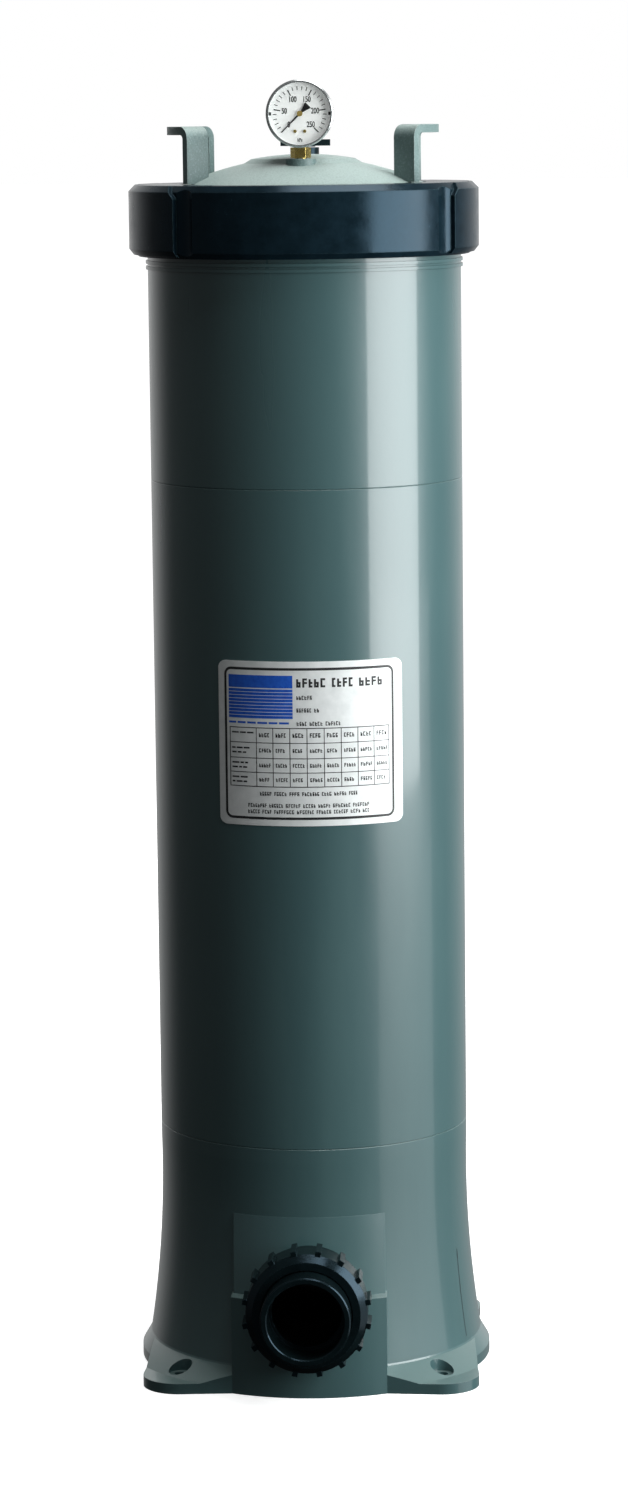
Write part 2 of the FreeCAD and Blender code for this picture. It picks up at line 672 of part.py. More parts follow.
def gauge():
    depth = D.gauge_back - D.gauge_front
    inner = D.gauge_radius - D.gauge_wall
    back = facing_front(D.gauge_back)
    shell = turned("case_shell", [
        (0, 0), (D.gauge_radius - 1.5, 0), (D.gauge_radius - 0.5, 1), (D.gauge_radius - 0.5, depth - 4),
        (inner - 0.5, depth - 4), (inner - 0.5, D.gauge_wall), (0, D.gauge_wall),
    ], **back)
    way_in = cylinder("case_entry", D.stem_radius, D.gauge_radius, y=D.gauge_y, z=D.gauge_z - D.gauge_radius)
    finish("gauge_case", cut("gauge_case", shell, [way_in]))
    finish("gauge_bezel", turned("gauge_bezel", [
        (inner - 0.5, depth - 4), (D.gauge_radius, depth - 4), (D.gauge_radius, depth - 1),
        (D.gauge_radius - 1, depth), (D.gauge_radius - D.bezel_width, depth),
        (D.gauge_radius - D.bezel_width, depth - 1), (inner - 0.5, depth - 1),
    ], **back))
    finish("gauge_lens", cylinder("gauge_lens", inner - 0.6, D.lens_thickness,
                                  **facing_front(D.gauge_front + D.lens_thickness + 1)))
    dial = cylinder("dial_disc", inner - 0.7, D.dial_thickness, **facing_front(D.dial_y))
    holes = [cylinder("dial_hole", 1.5, D.dial_thickness + 2, **facing_front(D.dial_y + 1))]
    for side in (-1, 1):
        holes.append(cylinder(f"dial_screw_hole_{side + 1}", 0.65, D.dial_thickness + 2,
                              x=D.screw_spread * side, y=D.dial_y + 1, z=D.gauge_z - D.screw_drop,
                              rotation=turn_about_x(90)))
    finish("gauge_dial", cut("gauge_dial", dial, holes))
    screws = [box("dial_screw_strip", D.screw_spread * 2 + 2.4, 1, 2.4, x=D.screw_spread * -1 - 1.2,
                  y=D.dial_y + 0.1, z=D.gauge_z - D.screw_drop - 1.2)]
    for side in (-1, 1):
        spot = {"x": D.screw_spread * side, "z": D.gauge_z - D.screw_drop, "rotation": turn_about_x(90)}
        screws.append(cylinder(f"dial_screw_{side + 1}", 1.3, 0.8,
                               y=D.dial_y - D.dial_thickness - 0.1, **spot))
        screws.append(cylinder(f"dial_shank_{side + 1}", 0.6, D.dial_thickness + 0.8,
                               y=D.dial_y + 0.4, **spot))
    finish("dial_screws", fuse("dial_screws", screws))
    # movement frame behind the dial, with the pointer bearing
    block = box("movement_block", 14, 9, 16, x=-7, y=D.dial_y + 1.2, z=D.gauge_z - 6)
    bearing = cylinder("movement_bearing", 1.25, 11, **facing_front(D.dial_y + 11))
    finish("gauge_movement", cut("gauge_movement", block, [bearing]))
    coil = torus("bourdon_coil", 17, 2.2, angle=250, y=D.gauge_y + 5.5, z=D.gauge_z,
                 rotation=turn_about_x(90) * turn_about_z(-80))
    finish("bourdon_tube", coil)
    hexagon = prism("stem_hex", 6, D.stem_flats / math.sqrt(3), D.hex_top - D.hex_bottom,
                    y=D.gauge_y, z=D.hex_bottom)
    shank = cylinder("stem_shank", D.stem_radius, D.gauge_z - D.gauge_radius + 3 - D.stem_bottom,
                     y=D.gauge_y, z=D.stem_bottom)
    way = cylinder("stem_way", 1.5, D.gauge_radius, y=D.gauge_y, z=D.stem_bottom - 1)
    finish("gauge_stem", cut("gauge_stem", fuse("stem_solid", [hexagon, shank]), [way]))
    gauge_needle()


def gauge_needle():
    """Pointer at zero, lower left, with a broad tail; it turns about the gauge axis."""
    face = D.dial_y - D.dial_thickness - 0.7
    pointer = padded("needle_pointer", [
        (-9.4, 3.2), (-9.4, -3.2), (-2, -0.8), (0, -0.9), (20.8, -0.15), (20.8, 0.15), (0, 0.9), (-2, 0.8),
    ], 0.4, y=face, z=D.gauge_z, rotation=turn_about_x(90) * turn_about_z(225))
    hub = cylinder("needle_hub", 2.2, 0.9, y=face, z=D.gauge_z, rotation=turn_about_x(90))
    shaft = cylinder("needle_shaft", 1.2, 9, y=face + 9, z=D.gauge_z, rotation=turn_about_x(90))
    finish("gauge_needle", fuse("gauge_needle", [pointer, hub, shaft]))


# --- air bleed valve --------------------------------------------------------------------------

def bleed_valve():
    barrel = D.knob_radius - 2
    way = D.spindle_radius + 0.05
    body = turned("bleed_barrel", [
        (way, D.bleed_bottom), (barrel, D.bleed_bottom), (barrel, D.bleed_seat + 0.1),
        (D.bleed_radius, D.bleed_seat + 0.1), (D.bleed_radius, D.bleed_top), (way, D.bleed_top),
    ], y=D.bleed_y)
    vent = cylinder("bleed_vent", D.vent_radius, D.bleed_radius + 1, y=D.bleed_y,
                    z=(D.bleed_seat + D.bleed_top) / 2, rotation=turn_about_x(-90))
    finish("bleed_body", cut("bleed_body", body, [vent]))
    spindle = cylinder("knob_spindle", D.spindle_radius, D.knob_top - D.bleed_bottom - 1, y=D.bleed_y,
                       z=D.bleed_bottom + 1)
    hub = cylinder("knob_hub", D.knob_radius, D.knob_top - D.bleed_top - 0.5, y=D.bleed_y,
                   z=D.bleed_top + 0.5)
    wings = box("knob_wings", D.wing_length, D.wing_width, D.knob_top - D.bleed_top - D.wing_lift,
                x=D.wing_length / -2, y=D.bleed_y - D.wing_width / 2, z=D.bleed_top + D.wing_lift)
    finish("bleed_knob", fuse("bleed_knob", [spindle, hub, wings]))


# --- filter cartridge -------------------------------------------------------------------------

def cartridge():
    core_top = D.pleat_top + 6
    finish("cartridge_lower_cap", turned("cartridge_lower_cap", [
        (D.cap_bore, D.cap_bottom), (D.cap_radius, D.cap_bottom), (D.cap_radius, D.cap_lower_top + 8),
        (D.cap_radius - D.cap_rim, D.cap_lower_top + 8), (D.cap_radius - D.cap_rim, D.cap_lower_top),
        (D.core_radius + D.core_bore_gap, D.cap_lower_top),
        (D.core_radius + D.core_bore_gap, D.cap_lower_top - 4),
        (D.cap_bore, D.cap_lower_top - 4),
    ]))
    finish("cartridge_upper_cap", turned("cartridge_upper_cap", [
        (0, D.pleat_top + 7), (D.core_radius + D.core_bore_gap, D.pleat_top + 7),
        (D.core_radius + D.core_bore_gap, D.pleat_top), (D.cap_radius - D.cap_rim, D.pleat_top),
        (D.cap_radius - D.cap_rim, D.pleat_top - 8), (D.cap_radius, D.pleat_top - 8),
        (D.cap_radius, D.cap_upper_top), (D.core_radius, D.cap_upper_top),
        (D.core_radius - 6, D.cap_upper_top + 12), (0, D.cap_upper_top + 12),
    ]))
    finish("cartridge_core", tube("cartridge_core", D.core_radius, D.core_radius - D.core_wall,
                                  D.cap_lower_top - 4, core_top))
    finish("cartridge_pleats", tube("cartridge_pleats", D.pleat_radius, D.core_radius + D.core_bore_gap,
                                    D.cap_lower_top, D.pleat_top))
    bands = []
    for number in range(3):
        bottom = D.cap_lower_top + (D.pleat_top - D.cap_lower_top) * (number + 1) / 4 - D.band_height / 2
        bands.append(tube(f"band_{number}", D.band_radius, D.pleat_radius, bottom, bottom + D.band_height))
    doc.recompute()
    straps = doc.addObject("Part::Compound", "cartridge_bands")
    straps.Links = bands
    finish("cartridge_bands", straps)
    finish("cartridge_gasket", tube("cartridge_gasket", D.cap_bore, D.gasket_fit, D.cap_bottom + 1,
                                    D.cap_bottom + 9))


base_moulding()
tank_tube()
tank_neck()
data_label()
riser()
union_set("inlet", -1)
union_set("outlet", 1)
lid()
lock_ring()
gauge()
bleed_valve()
cartridge()
doc.recompute()

for item in doc.Objects:
    if "Invalid" in item.State or "Error" in item.State:
        raise RuntimeError(f"{item.Name} did not compute: {item.State}")
os.makedirs("parts", exist_ok=True)
for item in finished:
    shape = item.Shape
    if shape.isNull() or not shape.isValid() or not shape.Solids:
        raise RuntimeError(f"{item.Label} has no valid solid")
    shape.exportStep(f"parts/{item.Label}.step")
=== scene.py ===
import math
import random

import bpy
from mathutils import Matrix, Vector


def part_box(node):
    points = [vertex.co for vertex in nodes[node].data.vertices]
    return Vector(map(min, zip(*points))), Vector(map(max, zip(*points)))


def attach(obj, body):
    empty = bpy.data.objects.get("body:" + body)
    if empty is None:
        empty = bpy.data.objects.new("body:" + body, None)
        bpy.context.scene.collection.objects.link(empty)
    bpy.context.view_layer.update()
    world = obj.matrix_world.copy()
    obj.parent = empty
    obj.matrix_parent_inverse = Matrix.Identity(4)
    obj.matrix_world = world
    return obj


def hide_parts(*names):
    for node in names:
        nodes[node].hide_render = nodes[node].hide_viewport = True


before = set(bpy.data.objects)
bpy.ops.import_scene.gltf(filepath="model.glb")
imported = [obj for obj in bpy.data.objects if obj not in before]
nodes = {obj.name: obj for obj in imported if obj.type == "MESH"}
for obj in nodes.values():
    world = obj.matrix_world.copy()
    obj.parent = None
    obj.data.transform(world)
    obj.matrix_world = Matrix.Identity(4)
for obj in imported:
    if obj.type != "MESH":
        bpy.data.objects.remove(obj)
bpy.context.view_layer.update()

MM = 0.001


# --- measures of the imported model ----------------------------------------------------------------

TANK_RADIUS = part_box("tank_tube")[1].x
label_low, label_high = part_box("data_label")
case_low, case_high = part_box("gauge_case")
GAUGE_Z = (case_low.z + case_high.z) / 2
DIAL_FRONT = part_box("gauge_dial")[0].y
pleat_low, pleat_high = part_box("cartridge_pleats")
CORE_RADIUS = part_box("cartridge_core")[1].x


# --- materials ------------------------------------------------------------------------------------

def srgb(red, green, blue):
    """The linear colour of three display values from 0 to 255."""
    def linear(value):
        value /= 255
        return value / 12.92 if value <= 0.04045 else ((value + 0.055) / 1.055) ** 2.4
    return (linear(red), linear(green), linear(blue), 1.0)


def set_range(node, low, high, to_low, to_high):
    """Fills in a Map Range node."""
    for socket, value in (("From Min", low), ("From Max", high), ("To Min", to_low), ("To Max", to_high)):
        node.inputs[socket].default_value = value


class Shader:
    """A node material with short calls for the few nodes that the surfaces here need.

    Depths and radii are metres, and noise scales are counts in each metre of the object.
    """

    def __init__(self, name, **settings):
        self.material = bpy.data.materials.new(name)
        self.material.use_nodes = True
        self.tree = self.material.node_tree
        self.surface = self.tree.nodes["Principled BSDF"]
        for socket, value in settings.items():
            self.surface.inputs[socket.replace("_", " ")].default_value = value
        self.place = self.node("ShaderNodeTexCoord").outputs["Object"]

    def node(self, kind, **settings):
        node = self.tree.nodes.new(kind)
        for key, value in settings.items():
            setattr(node, key, value)
        return node

    def link(self, source, target):
        self.tree.links.new(source, target)

    def noise(self, scale, detail=4.0, roughness=0.55, stretch=(1, 1, 1)):
        """Cloudy values round 0.5 that stay with the object."""
        mapping = self.node("ShaderNodeMapping")
        mapping.inputs["Scale"].default_value = stretch
        self.link(self.place, mapping.inputs["Vector"])
        noise = self.node("ShaderNodeTexNoise")
        noise.inputs["Scale"].default_value = scale
        noise.inputs["Detail"].default_value = detail
        noise.inputs["Roughness"].default_value = roughness
        self.link(mapping.outputs["Vector"], noise.inputs["Vector"])
        return noise.outputs["Fac"]

    def spread(self, factor, low, high, to_low=0.0, to_high=1.0):
        """Takes the range from low to high to a new range, and holds the values beyond it."""
        node = self.node("ShaderNodeMapRange")
        set_range(node, low, high, to_low, to_high)
        self.link(factor, node.inputs["Value"])
        return node.outputs["Result"]

    def mix(self, factor, first, second):
        """The first colour where the factor is 0 and the second where it is 1."""
        node = self.node("ShaderNodeMix", data_type="RGBA")
        self.link(factor, node.inputs["Factor"])
        for socket, colour in ((node.inputs[6], first), (node.inputs[7], second)):
            if hasattr(colour, "links"):
                self.link(colour, socket)
            else:
                socket.default_value = colour
        return node.outputs[2]

    def clouds(self, factor, dark, light):
        """Soft patches of two close tones."""
        return self.mix(self.spread(factor, 0.3, 0.7), dark, light)

    def edge_mask(self, radius, low=0.04, high=0.35):
        """White along the corners of the shape, from how far the rounded normal leaves the true one."""
        bevel = self.node("ShaderNodeBevel", samples=4)
        bevel.inputs["Radius"].default_value = radius
        geometry = self.node("ShaderNodeNewGeometry")
        dot = self.node("ShaderNodeVectorMath", operation="DOT_PRODUCT")
        self.link(bevel.outputs["Normal"], dot.inputs[0])
        self.link(geometry.outputs["Normal"], dot.inputs[1])
        return self.spread(dot.outputs["Value"], 1 - low, 1 - high)

    def upward(self, low, high, most=1.0):
        """Grows from 0 to most as the face turns up, and the Z of its normal goes from low to high."""
        parts = self.node("ShaderNodeSeparateXYZ")
        self.link(self.node("ShaderNodeTexCoord").outputs["Normal"], parts.inputs["Vector"])
        return self.spread(parts.outputs["Z"], low, high, to_high=most)

    def colour(self, socket):
        self.link(socket, self.surface.inputs["Base Color"])

    def gloss(self, factor, rough_low, rough_high):
        self.link(self.spread(factor, 0.3, 0.7, rough_low, rough_high), self.surface.inputs["Roughness"])

    def bump(self, factor, depth, rounding=0.0):
        """Fine relief, on corners that look rounded by the given radius."""
        bump = self.node("ShaderNodeBump")
        bump.inputs["Strength"].default_value = 1.0
        bump.inputs["Distance"].default_value = depth
        self.link(factor, bump.inputs["Height"])
        if rounding:
            bevel = self.node("ShaderNodeBevel", samples=4)
            bevel.inputs["Radius"].default_value = rounding
            self.link(bevel.outputs["Normal"], bump.inputs["Normal"])
        self.link(bump.outputs["Normal"], self.surface.inputs["Normal"])


def tank_plastic():
    """Glossy plastic with upright flow streaks, made lighter on what faces up."""
    look = Shader("tank_gloss_plastic", IOR=1.5, Coat_Weight=0.5, Coat_Roughness=0.08)
    broad = look.noise(3.0, detail=3.0)
    fine = look.noise(140.0, detail=3.0)
    flow = look.noise(22.0, stretch=(1, 1, 0.12))
    cloudy = look.clouds(broad, srgb(58, 86, 89), srgb(67, 96, 98))
    streaky = look.mix(look.spread(flow, 0.45, 0.75, to_high=0.35), cloudy, srgb(74, 103, 104))
    # Faces that turn up are mixed towards a lighter grey.
    look.colour(look.mix(look.upward(0.35, 1.0, most=0.4), streaky, srgb(132, 152, 148)))
    look.gloss(flow, 0.27, 0.36)
    look.bump(fine, 0.06 * MM, rounding=0.6 * MM)
    return look.material


def lid_plastic():
    """Pale grained plastic with painted light on top, rubbed at its corners, with dark pits and light
    crests.
    """
    look = Shader("lid_grained_plastic", IOR=1.48)
    grain = look.noise(800.0, detail=3.0)
    patch = look.noise(35.0, detail=5.0)
    tone = look.clouds(patch, srgb(92, 114, 114), srgb(104, 127, 126))
    # Painted light: faces that turn up are made paler, as if lit from above.
    painted_top_light = look.mix(look.upward(0.2, 0.95), tone, srgb(158, 176, 172))
    worn = look.mix(look.edge_mask(1.2 * MM), painted_top_light, srgb(166, 182, 178))
    pitted = look.mix(look.spread(grain, 0.36, 0.48, to_low=0.3, to_high=0.0), worn, srgb(84, 102, 98))
    look.colour(look.mix(look.spread(grain, 0.54, 0.66, to_high=0.18), pitted, srgb(190, 204, 198)))
    look.gloss(patch, 0.42, 0.55)
    look.bump(grain, 0.2 * MM, rounding=1.0 * MM)
    return look.material


def black_plastic(name, dark, light, rub, rough_low, rough_high, edge, shine):
    """Black plastic with a bluish shine, rubbed lighter along its corners."""
    look = Shader(name, IOR=1.5, Specular_IOR_Level=shine, Specular_Tint=srgb(176, 220, 250))
    mottle = look.noise(60.0, detail=6.0, roughness=0.7)
    fine = look.noise(600.0, detail=2.0)
    tone = look.mix(look.spread(mottle, 0.35, 0.7), dark, light)
    look.colour(look.mix(look.edge_mask(edge), tone, rub))
    look.gloss(mottle, rough_low, rough_high)
    look.bump(fine, 0.05 * MM, rounding=edge)
    return look.material


def plain_plastic(name, dark, light, rough_low, rough_high):
    look = Shader(name, IOR=1.47)
    patch = look.noise(40.0)
    look.colour(look.clouds(patch, dark, light))
    look.gloss(patch, rough_low, rough_high)
    look.bump(look.noise(700.0, detail=2.0), 0.05 * MM, rounding=0.5 * MM)
    return look.material


def metal(name, dark, light, rough_low, rough_high, stretch=(1, 1, 1), scale=500.0, metallic=1.0):
    """Finely brushed metal with faint stains."""
    look = Shader(name, Metallic=metallic)
    brushed = look.noise(scale, stretch=stretch)
    stain = look.noise(120.0, detail=3.0)
    look.colour(look.clouds(stain, dark, light))
    look.gloss(brushed, rough_low, rough_high)
    look.bump(brushed, 0.01 * MM, rounding=0.3 * MM)
    return look.material


def printed(name, dark, light, roughness=0.45, painted_glow=0.0):
    """Ink or enamel, with an optional faint glow that is painted light."""
    look = Shader(name, Emission_Color=light, Emission_Strength=painted_glow)
    patch = look.noise(300.0, detail=3.0)
    look.colour(look.clouds(patch, dark, light))
    look.gloss(patch, roughness - 0.05, roughness + 0.05)
    return look.material


def needle_paint():
    """Matt black, with a bare brass hub at the middle of the gauge."""
    hub_radius = 2.3 * MM
    blend = 0.05 * MM
    look = Shader("needle_paint")
    flat = look.node("ShaderNodeVectorMath", operation="MULTIPLY")
    flat.inputs[1].default_value = (1, 0, 1)
    look.link(look.place, flat.inputs[0])
    away = look.node("ShaderNodeVectorMath", operation="DISTANCE")
    away.inputs[1].default_value = (0, 0, GAUGE_Z)
    look.link(flat.outputs["Vector"], away.inputs[0])
    painted = look.spread(away.outputs["Value"], hub_radius - blend, hub_radius + blend)
    speck = look.noise(300.0, detail=3.0)
    paint = look.clouds(speck, srgb(14, 15, 16), srgb(26, 27, 28))
    look.colour(look.mix(painted, srgb(150, 130, 70), paint))
    look.gloss(speck, 0.35, 0.45)
    return look.material


def clear_glass():
    """Clear lens with a slight haze."""
    look = Shader("clear_lens", IOR=1.45, Transmission_Weight=1.0, Alpha=0.1)
    look.surface.inputs["Base Color"].default_value = srgb(250, 252, 252)
    look.gloss(look.noise(80.0, detail=2.0), 0.02, 0.05)
    return look.material


def rubber():
    look = Shader("seal_rubber_look")
    patch = look.noise(200.0)
    look.colour(look.clouds(patch, srgb(22, 22, 23), srgb(38, 38, 40)))
    look.gloss(patch, 0.5, 0.65)
    look.bump(patch, 0.05 * MM)
    return look.material


def fabric():
    """Spun fibre with faint dirt."""
    look = Shader("spun_polyester", Sheen_Weight=0.3)
    fibre = look.noise(900.0, detail=6.0, roughness=0.7)
    dirt = look.noise(12.0, detail=3.0)
    tone = look.mix(look.spread(fibre, 0.35, 0.65), srgb(212, 217, 217), srgb(240, 243, 242))
    look.colour(look.mix(look.spread(dirt, 0.5, 0.8, to_high=0.3), tone, srgb(196, 196, 184)))
    look.gloss(fibre, 0.75, 0.9)
    look.bump(fibre, 0.1 * MM)
    return look.material


TANK = tank_plastic()
LID = lid_plastic()
RING = black_plastic("ring_black_plastic", srgb(11, 25, 32), srgb(18, 35, 44), rub=srgb(70, 94, 100),
                     rough_low=0.15, rough_high=0.28, edge=1.2 * MM, shine=0.27)
UNION = black_plastic("union_black_plastic", srgb(8, 16, 18), srgb(13, 24, 26), rub=srgb(44, 60, 66),
                      rough_low=0.16, rough_high=0.26, edge=0.6 * MM, shine=0.3)
BLEED = black_plastic("bleed_black_plastic", srgb(14, 24, 26), srgb(20, 32, 34), rub=srgb(60, 80, 86),
                      rough_low=0.3, rough_high=0.42, edge=0.5 * MM, shine=0.34)
RUBBER = rubber()
FOIL = metal("label_satin_foil", srgb(222, 227, 227), srgb(236, 240, 240), 0.42, 0.52,
             stretch=(1, 1, 12), scale=260.0, metallic=0.15)
INK_BLACK = printed("print_black", srgb(24, 26, 28), srgb(36, 38, 40))
INK_BLUE = printed("print_blue", srgb(18, 78, 186), srgb(32, 96, 204))
STEEL = metal("gauge_drawn_steel", srgb(140, 143, 144), srgb(170, 173, 173), 0.26, 0.38)
CHROME = metal("bezel_polish", srgb(176, 181, 182), srgb(196, 200, 200), 0.2, 0.28, metallic=0.8)
BRASS = metal("turned_brass", srgb(206, 180, 92), srgb(232, 212, 136), 0.2, 0.32)
# The dial's faint glow is painted light, evening out the shade that the bezel casts across it.
DIAL = printed("dial_enamel", srgb(240, 243, 241), srgb(248, 250, 248), roughness=0.3, painted_glow=0.16)
NEEDLE = needle_paint()
PVC = plain_plastic("riser_pvc", srgb(116, 122, 124), srgb(130, 136, 138), 0.35, 0.45)
CAP = plain_plastic("cap_moulding", srgb(168, 180, 186), srgb(184, 195, 200), 0.4, 0.5)
CORE = plain_plastic("core_moulding", srgb(208, 208, 202), srgb(224, 224, 218), 0.4, 0.5)
PLEATS = fabric()
GLASS = clear_glass()

LOOKS = {
    "base_moulding": TANK, "tank_tube": TANK, "tank_neck": TANK, "lid_seal": RUBBER,
    "data_label": FOIL, "outlet_riser": PVC, "lid": LID, "lock_ring": RING,
    "bleed_body": BLEED, "bleed_knob": BLEED, "gauge_case": STEEL, "gauge_bezel": CHROME,
    "gauge_lens": GLASS, "gauge_dial": DIAL, "dial_screws": BRASS, "gauge_movement": BRASS,
    "bourdon_tube": BRASS, "gauge_stem": BRASS, "gauge_needle": NEEDLE,
    "cartridge_lower_cap": CAP, "cartridge_upper_cap": CAP, "cartridge_core": CORE,
    "cartridge_pleats": PLEATS, "cartridge_bands": CORE, "cartridge_gasket": RUBBER,
}
for side in ("inlet", "outlet"):
    for part in ("adaptor", "tailpiece", "nut"):
        LOOKS[f"{side}_{part}"] = UNION
    LOOKS[f"{side}_seal"] = RUBBER


def dress_nodes():
    """Gives every CAD node its material."""
    for name, material in LOOKS.items():
        piece = nodes[name]
        if not piece.material_slots:
            piece.data.materials.append(material)
        for holder in piece.material_slots:
            holder.material = material


# --- mesh helpers ---------------------------------------------------------------------------------

def add_mesh(name, vertices, faces, material, body):
    """A flat-shaded piece that rides on a body."""
    mesh = bpy.data.meshes.new(name)
    mesh.from_pydata(vertices, [], faces)
    mesh.update()
    mesh.materials.append(material)
    piece = bpy.data.objects.new(name, mesh)
    bpy.context.collection.objects.link(piece)
    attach(piece, body)
    return piece


class Patches:
    """Collects small quads into one mesh."""

    def __init__(self):
        self.vertices = []
        self.faces = []

    def quad(self, corners):
        start = len(self.vertices)
        self.vertices += corners
        self.faces.append(tuple(range(start, start + len(corners))))

    def add(self, name, material, body, slot):
        add_mesh(name, self.vertices, self.faces, material, body)


# --- data plate -----------------------------------------------------------------------------------
# Places on the plate are millimetres along its curve and up, from its middle.

LABEL_MIDDLE = (label_low.z + label_high.z) / 2
LABEL_TURN = math.atan2((label_low.x + label_high.x) / 2, TANK_RADIUS)
LABEL_RADIUS = TANK_RADIUS + 0.42 * MM

EMBLEM_LEFT = -66.0
EMBLEM_RIGHT = -13.0
CAPTION_LEFT = -10
TABLE_LEFT = -65.5
TABLE_FIRST_COLUMN = 23.0
TABLE_COLUMN = 13.5
TABLE_COLUMNS = 8
TABLE_LEVELS = (12.8, 0.7, -11.5, -22.8, -34.3)


def on_label(across, up):
    """A point just proud of the plate."""
    angle = LABEL_TURN + across * MM / LABEL_RADIUS
    return (LABEL_RADIUS * math.sin(angle), -LABEL_RADIUS * math.cos(angle), LABEL_MIDDLE + up * MM)


def bar(patches, left, low, right, high, step=4.0):
    """A rectangle on the plate, cut across into flat strips that follow the curve."""
    count = max(1, math.ceil((right - left) / step))
    for number in range(count):
        start = left + (right - left) * number / count
        end = left + (right - left) * (number + 1) / count
        patches.quad([on_label(start, low), on_label(end, low), on_label(end, high), on_label(start, high)])


def square_frame(patches, left, low, right, high, width):
    bar(patches, left, low, right, low + width)
    bar(patches, left, high - width, right, high)
    bar(patches, left, low, left + width, high)
    bar(patches, right - width, low, right, high)


def round_frame(patches, across, up, corner, width):
    """A line round the plate, across and up from its middle, with rounded corners."""
    bar(patches, corner - across, up - width, across - corner, up)
    bar(patches, corner - across, -up, across - corner, width - up)
    bar(patches, -across, corner - up, width - across, up - corner)
    bar(patches, across - width, corner - up, across, up - corner)
    steps = 6
    inner = corner - width
    for side_across, side_up in ((1, 1), (-1, 1), (-1, -1), (1, -1)):
        middle_across = side_across * (across - corner)
        middle_up = side_up * (up - corner)
        for step in range(steps):
            spots = []
            for count, reach in ((step, corner), (step + 1, corner), (step + 1, inner), (step, inner)):
                heading = math.pi / 2 * count / steps
                spots.append(on_label(middle_across + side_across * reach * math.cos(heading),
                                      middle_up + side_up * reach * math.sin(heading)))
            patches.quad(spots if side_across == side_up else spots[::-1])


def fine_print(patches, left, middle, right, height, seed):
    """A line of print shown as strokes that spell nothing, in groups like words."""
    draw = random.Random(seed)
    stroke = height * 0.24
    stroke_levels = (0.0, 0.43, 0.85)
    second_upright_share = 0.4
    letter_gap = height * 0.2
    word_gap = height * 0.6
    low = middle - height / 2
    at = left
    letters = draw.randint(4, 8)
    while True:
        width = height * draw.uniform(0.42, 0.6)
        if at + width > right:
            break
        bar(patches, at, low, at + stroke, low + height)
        for level in draw.sample(stroke_levels, 2):
            bar(patches, at, low + height * level, at + width, low + height * level + stroke)
        if draw.random() < second_upright_share:
            bar(patches, at + width - stroke, low, at + width, low + height * 0.5)
        at += width + letter_gap
        letters -= 1
        if letters == 0:
            at += word_gap
            letters = draw.randint(4, 8)


def small_print(patches, left, middle, right, height, seed):
    """A line of the smallest print, as one short bar for each word."""
    draw = random.Random(seed)
    half = height * 0.3
    word_gap = height * 0.5
    at = left
    while True:
        width = height * draw.uniform(1.2, 3.2)
        if at + width > right:
            break
        bar(patches, at, middle - half, at + width, middle + half)
        at += width + word_gap


def print_emblem(blue):
    """A plain block over stripes, with a line of small print under them."""
    block_low = 44.0
    block_high = 54.0
    stripes = 9
    stripes_low = 20.0
    stripe_pitch = 2.62
    stripe_height = 2.2
    line_middle = 16.5
    bar(blue, EMBLEM_LEFT, block_low, EMBLEM_RIGHT, block_high)
    for number in range(stripes):
        low = stripes_low + number * stripe_pitch
        bar(blue, EMBLEM_LEFT, low, EMBLEM_RIGHT, low + stripe_height)
    small_print(blue, EMBLEM_LEFT, line_middle, EMBLEM_RIGHT, height=2.6, seed=5)


def print_captions(black):
    """A title and three short lines beside the emblem."""
    title_middle = 48
    title_right = 62
    fine_print(black, CAPTION_LEFT, title_middle, title_right, height=6.6, seed=1)
    for middle, right in ((36.5, 3), (26.5, 9), (16.0, 25)):
        fine_print(black, CAPTION_LEFT, middle, right, height=3.0, seed=7 + right)


def print_table(black):
    """A ruled table of four rows, with small print in its first column."""
    half_line = 0.3
    from_middle = 1.8
    cell_left = 2.2
    cell_right = 1.4
    first_right = TABLE_LEFT + TABLE_FIRST_COLUMN
    right = first_right + TABLE_COLUMN * TABLE_COLUMNS
    square_frame(black, TABLE_LEFT, TABLE_LEVELS[-1], right, TABLE_LEVELS[0], width=0.7)
    for row, (level, following) in enumerate(zip(TABLE_LEVELS, TABLE_LEVELS[1:])):
        middle = (level + following) / 2
        start = TABLE_LEFT + 2
        small_print(black, start, middle + from_middle, first_right - 2, height=2.0, seed=20 + row)
        if row:
            small_print(black, start, middle - from_middle, first_right - 4, height=2.0, seed=40 + row)
            bar(black, TABLE_LEFT, level - half_line, right, level + half_line)
        height = 2.8 if row else 3.2
        for column in range(TABLE_COLUMNS):
            start = first_right + TABLE_COLUMN * column
            fine_print(black, start + cell_left, middle, start + TABLE_COLUMN - cell_right, height,
                       seed=60 + row * TABLE_COLUMNS + column)
    for column in range(TABLE_COLUMNS):
        at = first_right + TABLE_COLUMN * column
        bar(black, at - half_line, TABLE_LEVELS[-1], at + half_line, TABLE_LEVELS[0])


def print_notes(black):
    """Three lines under the table."""
    fine_print(black, -40, -39.6, 38, height=2.8, seed=100)
    fine_print(black, -50, -49.0, 49, height=2.8, seed=101)
    fine_print(black, -50, -53.9, 49, height=2.8, seed=102)


def data_plate_print():
    """Everything printed on the plate, in two inks."""
    black = Patches()
    blue = Patches()
    round_frame(black, across=69.9, up=60.0, corner=6.0, width=2.0)
    print_emblem(blue)
    print_captions(black)
    print_table(black)
    print_notes(black)
    black.add("label_print_black", INK_BLACK, "housing", "label_foil")
    blue.add("label_print_blue", INK_BLUE, "housing", "label_foil")


# --- base details ---------------------------------------------------------------------------------

